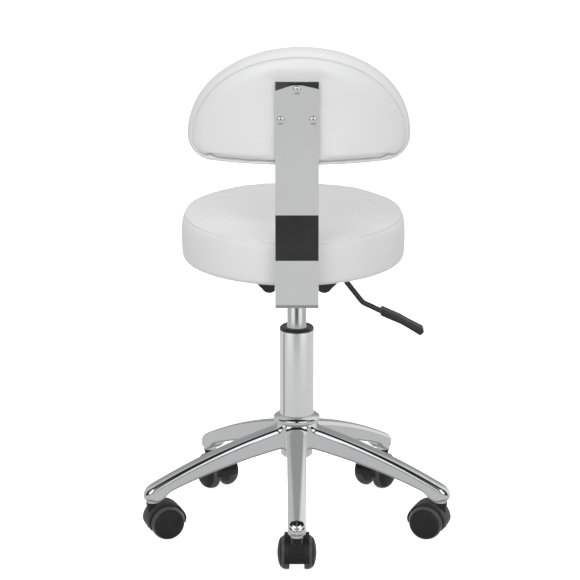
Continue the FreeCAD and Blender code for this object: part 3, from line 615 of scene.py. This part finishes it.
def bar_strip():
    """The bent flat bar with eased edges, its top corners chamfered back towards the screw."""
    low, high = box_mm("backrest_bar")
    half, thick, bend, edge = high.x, BAR_THICK, BAR_BEND, BAR_EDGE
    face = [half - edge, 21, 14, 8.5, 5, 0, -5, -8.5, -14, -21, edge - half]
    section = [(half - 0.25, thick / 2 - 0.25), *[(across, thick / 2) for across in face],
               (0.25 - half, thick / 2 - 0.25), (-half, thick / 2 - edge), (-half, edge - thick / 2),
               (0.25 - half, 0.25 - thick / 2), *[(-across, -thick / 2) for across in face],
               (half - 0.25, 0.25 - thick / 2), (half, edge - thick / 2), (half, thick / 2 - edge)]
    leg, upright = low.z + thick / 2, high.y - thick / 2
    route = [(low.y, leg, 0), (low.y + 0.5, leg, 0), (upright - bend, leg, 0)]
    for step in range(1, BEND_STEPS + 1):
        angle = math.pi / 2 * step / BEND_STEPS
        route.append((upright - bend + bend * math.sin(angle), leg + bend - bend * math.cos(angle), angle))
    route += [(upright, up, math.pi / 2) for up in BAR_STATIONS]
    rings = [[Vector((across, along + out * math.sin(turn), up - out * math.cos(turn)))
              for across, out in section] for along, up, turn in route]

    def crease(across):
        """Height where the chamfer starts: high at the screw and low at the bar's edges."""
        reach = max(abs(across) - WEDGE_START, 0) / (half - WEDGE_START)
        return high.z - WEDGE_TOP - (WEDGE_DROPS[across > 0] - WEDGE_TOP) * reach

    rings.append([Vector((across, upright + out, crease(across))) for across, out in section])
    for up, shrink in ((high.z - 0.5, 1.0), (high.z, 0.985)):
        top = []
        for across, out in section:
            back = math.tan(WEDGE_TILT) * (up - crease(across)) if out > 0 else 0.0
            top.append(Vector((across * shrink, upright + out * (0.8 if shrink < 1 else 1) - back, up)))
        rings.append(top)
    piece = new_piece("bar_strip", *skin(rings), "bar_steel", "seat", ("backrest_bar",), 20)
    for line in piece.data.edges:
        ends = [piece.data.vertices[index].co / MM for index in line.vertices]
        if all(abs(crease(end.x) - end.z) < 0.01 and end.y > upright for end in ends):
            line.use_edge_sharp = True
    return piece


def bar_patch():
    """The black plate with eased edges that spans the bar's rear face."""
    low, high = box_mm("bar_plate")
    half = box_mm("backrest_bar")[1].x - 0.35
    middle, tall = (low.z + high.z) / 2, (high.z - low.z) / 2
    rings = [[Vector((across * (half - inset), out, middle + up * (tall - inset)))
              for across, up in ((1, 1), (-1, 1), (-1, -1), (1, -1))]
             for inset, out in ((0, low.y), (0, high.y - 0.4), (0.15, high.y - 0.1), (0.5, high.y))]
    return new_piece("bar_patch", *skin(rings), "black_plastic", "seat", ("bar_plate",), 30)


def cross_radius(angle, reach=2.9, half_width=0.75):
    """The rim of a cross-shaped recess, seen from its middle."""
    run, rise = max(abs(math.cos(angle)), 1e-6), max(abs(math.sin(angle)), 1e-6)
    return max(min(reach / run, half_width / rise), min(reach / rise, half_width / run))


def back_screw_heads():
    """Three domed screws with cross recesses, in the backrest bar."""
    low, high = box_mm("back_screws")
    bar_back = box_mm("backrest_bar")[1].y
    dome = [(2.4, -15), (2.4, -0.2), (HEAD_RADIUS, -0.2), (HEAD_RADIUS, 0.5), (6.0, 1.2), (5.2, 2.0),
            (4.2, 2.55), (3.3, 2.85)]
    angles = [2 * math.pi * step / SCREW_SEGMENTS for step in range(SCREW_SEGMENTS)]
    screws = []
    for across, up in ((0, high.z - HEAD_RADIUS), (high.x - HEAD_RADIUS, low.z + HEAD_RADIUS),
                       (low.x + HEAD_RADIUS, low.z + HEAD_RADIUS)):
        middle = Vector((across, bar_back, up))
        rings = turned_rings(dome, SCREW_SEGMENTS, middle, Vector((0, 1, 0)))
        for depth, share in ((CROSS_TOP, 1.0), (CROSS_FLOOR, 0.75)):
            rings.append([middle + Vector((math.cos(angle + CROSS_TURN), 0, math.sin(angle + CROSS_TURN)))
                          * cross_radius(angle) * share + Vector((0, depth, 0)) for angle in angles])
        screws.append(skin(rings))
    return new_piece("back_screw_heads", *gathered(screws), "plated_steel", "seat", ("back_screws",), 35)


# ---------------------------------------------------------------- casters
WHEEL_RADIUS = 25.0
CASTER_TRAIL = 19.0
WEB_HALF = 10.2
HOOD_START, HOOD_END, HOOD_STEPS = -22.0, 184.0, 48
HOOD_HALF, HOOD_INNER, HOOD_THICK = 18.3, 26.0, 3.2
AXLE_RADIUS, STEM_RADIUS = 4.1, 4.2
NECK_TURNS = (4, 40, 90, 150)


def caster_frame(angle):
    """Axle middle, outward way and the axle's own way of the caster under the arm at this angle."""
    outward = Vector((math.cos(angle), math.sin(angle), 0))
    axle_way = Vector((-math.sin(angle), math.cos(angle), 0))
    return outward * (SOCKET_CIRCLE - CASTER_TRAIL) + Vector((0, 0, WHEEL_RADIUS)), outward, axle_way


def caster_hood(number, angle):
    """The fender over both wheels, thin at its ends, the web between them and the stem's boss."""
    middle, outward, axle_way = caster_frame(angle)
    up = Vector((0, 0, 1))

    def spot(around, radius, along):
        return middle + (outward * math.cos(around) + up * math.sin(around)) * radius + axle_way * along

    rings = []
    for step in range(HOOD_STEPS + 1):
        degree = HOOD_START + (HOOD_END - HOOD_START) * step / HOOD_STEPS
        around = math.radians(degree)
        thick = HOOD_THICK * (0.16 + 0.84 * ease(degree, HOOD_START, HOOD_START + 26)
                              * ease(-degree, -HOOD_END, -HOOD_END + 20))
        outer, inner, half = HOOD_INNER + thick, HOOD_INNER, HOOD_HALF
        soft = min(1.3, thick * 0.45)
        rings.append([spot(around, radius, along) for radius, along in (
            (inner, half - 0.3), (inner + 0.3 * thick, half), (outer - soft, half),
            (outer - soft * 0.3, half - soft * 0.3), (outer, half - soft), (outer + 0.25, half * 0.5),
            (outer + 0.35, 0), (outer + 0.25, -half * 0.5), (outer, soft - half),
            (outer - soft * 0.3, soft * 0.3 - half), (outer - soft, -half), (inner + 0.3 * thick, -half),
            (inner, 0.3 - half), (inner, -half * 0.5), (inner, 0), (inner, half * 0.5))])
    web = [(AXLE_RADIUS, -9.6), (11.5, -9.6), (12, -9.1), (12, 9.1), (11.5, 9.6), (AXLE_RADIUS, 9.6)]
    boss = softened([(STEM_RADIUS, -9), (8.0, -9), (8.0, 22), (9.5, 28.9), (9.5, 29.75), (8.8, 29.75),
                     (8.8, 28.9), (STEM_RADIUS, 28.9)], 0.8, 2)
    corners = [(turn, WEB_HALF) for turn in NECK_TURNS] + [(turn, -WEB_HALF) for turn in NECK_TURNS[::-1]]
    neck = [[spot(math.radians(turn), radius, along) for turn, along in corners]
            for radius in (8.0, 20.0, HOOD_INNER + 1)]
    shells = (skin(rings), skin(turned_rings(web, 72, middle, axle_way), looped=True),
              skin(turned_rings(boss, 56, middle + outward * CASTER_TRAIL), looped=True), skin(neck))
    return new_piece(f"hood_{number}", *gathered(shells), "caster_plastic", f"caster_{number}",
                     (f"caster_hood_{number}",), 38)


def caster_wheel(number, letter, angle):
    """A wheel with a domed black disc and a thin grey tyre with a round shoulder."""
    middle, _, axle_way = caster_frame(angle)
    way = axle_way if letter == "a" else -axle_way
    face = middle + way * (WEB_HALF + 0.3)
    body = f"wheel_{number}{letter}"
    disc = softened([(AXLE_RADIUS, 0.3), (19.7, 0.3), (19.7, 11.6), (22.2, 11.6), (22.4, 12.3),
                     (21.2, 13.5), (20.4, 13.3), (19.4, 14.3), (16, 15.6), (12, 16.6), (8, 17.3),
                     (4, 17.75), (0.6, 17.85)], 0.9, 3) + [(0.6, 15.5), (AXLE_RADIUS, 15.5)]
    tyre = softened([(19.8, 0.1), (23.6, 0.1), (24.9, 1.4), (WHEEL_RADIUS, 3.5), (24.9, 6.5), (24.3, 8.8),
                     (23.4, 10.5), (22.6, 11.4), (19.8, 11.4)], 1.4, 3)
    new_piece(f"disc_{number}{letter}", *skin(turned_rings(disc, 96, face, way), looped=True),
              "wheel_plastic", body, (f"wheel_core_{number}{letter}",), 38)
    new_piece(f"tyre_{number}{letter}", *skin(turned_rings(tyre, 120, face, way), looped=True),
              "tread_grey", body, (f"wheel_tread_{number}{letter}",), 38)


# ---------------------------------------------------------------- studio
FLOOR_GLOW = 0.85
CARD_LOW, CARD_HIGH, CARD_DISTANCE, CARD_STEPS = 0.162, 0.245, 0.5, 8
# How bright each stretch of the room is that the chrome sees.
BACKDROP, FLANK_LEFT, FLANK_RIGHT = 0.4, 0.95, 0.66
FRONT_DARK, SOFT_BOX = 0.03, 1.35
FLOOR_PALE, FLOOR_STEEP = 0.66, 0.3
ROOM_DIFFUSE, ROOM_SEEN = 0.62, 1.0


def add_floor():
    bpy.ops.mesh.primitive_plane_add(size=60.0)
    floor = bpy.context.object
    floor.name = "floor"
    look = Shader("pale_floor")
    look.tint(look.noise(0.6), (0.9, 0.9, 0.9), (0.93, 0.93, 0.93))
    look.surface.inputs["Roughness"].default_value = 0.9
    look.surface.inputs["Specular IOR Level"].default_value = 0.0
    look.surface.inputs["Emission Color"].default_value = (1, 1, 1, 1)
    look.surface.inputs["Emission Strength"].default_value = FLOOR_GLOW
    floor.data.materials.append(look.material)
    floor.visible_glossy = floor.visible_diffuse = False


def add_area(name, place, target, width, height, power):
    data = bpy.data.lights.new(name, "AREA")
    data.shape = "RECTANGLE"
    data.size, data.size_y, data.energy = width, height, power
    light = bpy.data.objects.new(name, data)
    light.location = place
    way = Vector(target) - Vector(place)
    light.rotation_euler = way.to_track_quat("-Z", "Y").to_euler()
    light.visible_glossy = False
    bpy.context.scene.collection.objects.link(light)


def add_card(name, start, end, level):
    """A glowing card round the stool, from start to end in degrees, which only reflections see."""
    points, faces = [], []
    for step in range(CARD_STEPS + 1):
        turn = math.radians(start + (end - start) * step / CARD_STEPS)
        for up in (CARD_LOW, CARD_HIGH):
            points.append((CARD_DISTANCE * math.sin(turn), CARD_DISTANCE * math.cos(turn), up))
        if step:
            first = 2 * step - 2
            faces.append((first, first + 1, first + 3, first + 2))
    mesh = bpy.data.meshes.new(name)
    mesh.from_pydata(points, [], faces)
    material = bpy.data.materials.new(name)
    material.use_nodes = True
    tree = material.node_tree
    tree.nodes.clear()
    glow = tree.nodes.new("ShaderNodeEmission")
    glow.inputs["Color"].default_value = (level, level, level, 1)
    surface = tree.nodes.new("ShaderNodeOutputMaterial")
    tree.links.new(glow.outputs["Emission"], surface.inputs["Surface"])
    mesh.materials.append(material)
    card = bpy.data.objects.new(name, mesh)
    bpy.context.scene.collection.objects.link(card)
    card.visible_camera = card.visible_diffuse = card.visible_shadow = card.visible_transmission = False


class Sky:
    """Short calls to work out the room's brightness with nodes."""

    def __init__(self, tree):
        self.tree = tree

    def math(self, operation, *values):
        node = self.tree.nodes.new("ShaderNodeMath")
        node.operation = operation
        for socket, value in zip(node.inputs, values):
            if isinstance(value, (int, float)):
                socket.default_value = value
            else:
                self.tree.links.new(value, socket)
        return node.outputs[0]

    def ramp(self, value, low, high, at_low=0.0, at_high=1.0):
        """A smooth step from at_low to at_high."""
        node = self.tree.nodes.new("ShaderNodeMapRange")
        node.interpolation_type = "SMOOTHSTEP"
        for key, number in (("From Min", low), ("From Max", high),
                            ("To Min", at_low), ("To Max", at_high)):
            node.inputs[key].default_value = number
        self.tree.links.new(value, node.inputs["Value"])
        return node.outputs["Result"]

    def band(self, value, low, high, soft):
        """1 between low and high and 0 outside, with soft edges."""
        rise = self.ramp(value, low - soft, low + soft)
        return self.math("MULTIPLY", rise, self.ramp(value, high - soft, high + soft, 1.0, 0.0))

    def mix(self, factor, first, second):
        """first where factor is 0, second where it is 1."""
        both_numbers = isinstance(first, float) and isinstance(second, float)
        change = second - first if both_numbers else self.math("SUBTRACT", second, first)
        return self.math("MULTIPLY_ADD", factor, change, first)


def add_studio():
    """A pale room. Diffuse light is even. Reflections see a backdrop, two soft boxes and a floor."""
    world = bpy.data.worlds.new("studio")
    bpy.context.scene.world = world
    world.use_nodes = True
    tree = world.node_tree
    sky = Sky(tree)
    way = tree.nodes.new("ShaderNodeTexCoord").outputs["Generated"]
    parts = tree.nodes.new("ShaderNodeSeparateXYZ")
    tree.links.new(way, parts.inputs[0])
    across, ahead, up = parts.outputs
    # 0 where a ray goes towards +Y and pi where it goes towards -Y, the same to both sides.
    turn = sky.math("ARCTAN2", sky.math("ABSOLUTE", across), ahead)
    flank = sky.mix(sky.ramp(across, -0.2, 0.2), FLANK_LEFT, FLANK_RIGHT)
    backdrop = sky.mix(sky.ramp(turn, 2.76, 2.4), BACKDROP, flank)
    room = sky.mix(sky.ramp(ahead, -0.24, -0.12), backdrop, FRONT_DARK)
    boxes = sky.math("MULTIPLY", sky.band(turn, 0.15, 1.0, 0.04), sky.band(up, 0.03, 0.8, 0.03))
    room = sky.mix(boxes, room, SOFT_BOX)
    room = sky.mix(sky.ramp(up, -0.17, -0.1, 1.0, 0.0), room, FLOOR_PALE)
    room = sky.mix(sky.ramp(up, -0.85, -0.5, 1.0, 0.0), room, FLOOR_STEEP)
    rays = tree.nodes.new("ShaderNodeLightPath").outputs
    level = sky.mix(rays["Is Glossy Ray"], ROOM_DIFFUSE, room)
    level = sky.mix(rays["Is Camera Ray"], level, ROOM_SEEN)
    tree.links.new(level, tree.nodes["Background"].inputs["Color"])
    add_area("key", (1.8, 2.8, 3.0), (0, 0, 0.4), 2.6, 2.6, 44)
    add_area("top", (-0.3, -0.8, 3.6), (0, 0, 0.4), 2.6, 2.6, 24)
    add_area("fill", (-1.6, 3.8, 1.6), (0, 0, 0.5), 2.2, 2.2, 35)
    add_card("stripe_dark", -17, 17, 0.2)
    for number, side in ((1, -1), (2, 1)):
        add_card(f"stripe_light_{number}", side * 27, side * 68, 1.25)
    bpy.context.scene.view_settings.view_transform = "Standard"


add_camera()
finish_nodes()
seat_cushion()
backrest_cushion()
star_casting()
column_seam_shade()
bar_strip()
bar_patch()
back_screw_heads()
for caster_number, caster_angle in enumerate(ARM_ANGLES, start=1):
    caster_hood(caster_number, caster_angle)
    for wheel_letter in "ab":
        caster_wheel(caster_number, wheel_letter, caster_angle)
add_floor()
add_studio()
